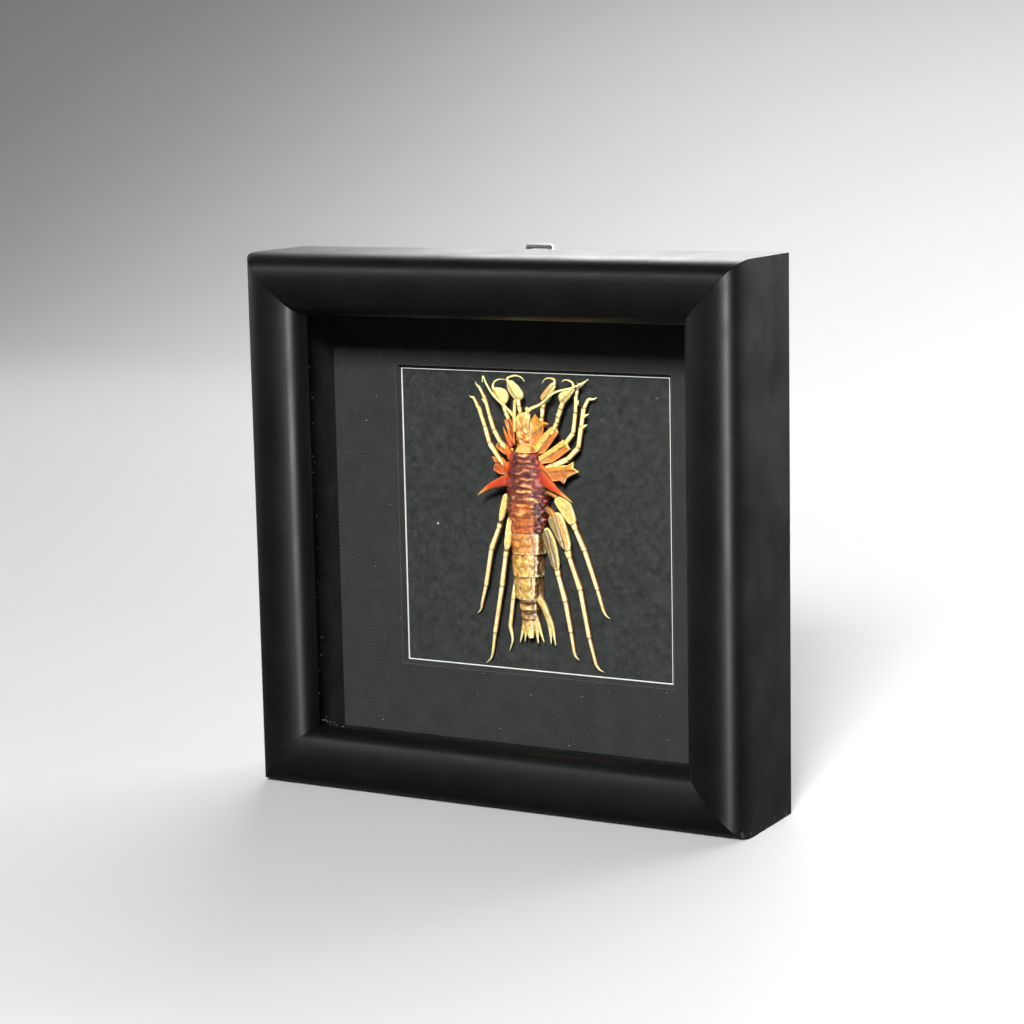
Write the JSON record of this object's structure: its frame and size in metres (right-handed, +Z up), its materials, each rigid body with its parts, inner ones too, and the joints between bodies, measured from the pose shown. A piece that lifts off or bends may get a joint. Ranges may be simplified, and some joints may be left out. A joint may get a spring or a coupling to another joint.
{
  "type": "framed amphipod",
  "caption": "Square black shadow box frame with glass, a dark mat with a white-lined window, and a dried spiny amphipod mounted on dark paper.",
  "frame": {"origin": "under the middle of the whole part, on the surface that the bottom rail stands on", "axes": "+X to the right seen from the front, +Y back through the frame, away from the glass, +Z up"},
  "size_m": [0.15, 0.037, 0.1512],
  "materials": {
    "rail": "satin black lacquer",
    "pane": "clear float glass",
    "spacer_card": "matte black card",
    "mat": "matte charcoal mat board",
    "liner": "white card",
    "mount_paper": "matte slate laid paper on board",
    "panel": "plain hardboard",
    "steel": "zinc plated",
    "shell": "dried shell, cream to red-brown, satin"
  },
  "bodies": {
    "root": {"rail_bottom": "rail", "rail_left": "rail", "rail_top": "rail", "rail_right": "rail", "glass": "pane", "spacer_bottom": "spacer_card", "spacer_left": "spacer_card", "spacer_top": "spacer_card", "spacer_right": "spacer_card", "mat_board": "mat", "mat_liner": "liner", "mount_board": "mount_paper", "back_panel": "panel", "back_tab_1": "steel", "back_tab_2": "steel", "back_tab_3": "steel", "back_tab_4": "steel", "back_tab_5": "steel", "back_tab_6": "steel", "back_tab_7": "steel", "back_tab_8": "steel", "hanger_plate": "steel", "hanger_screw": "steel", "amphipod": "shell"}
  },
  "joints": []
}
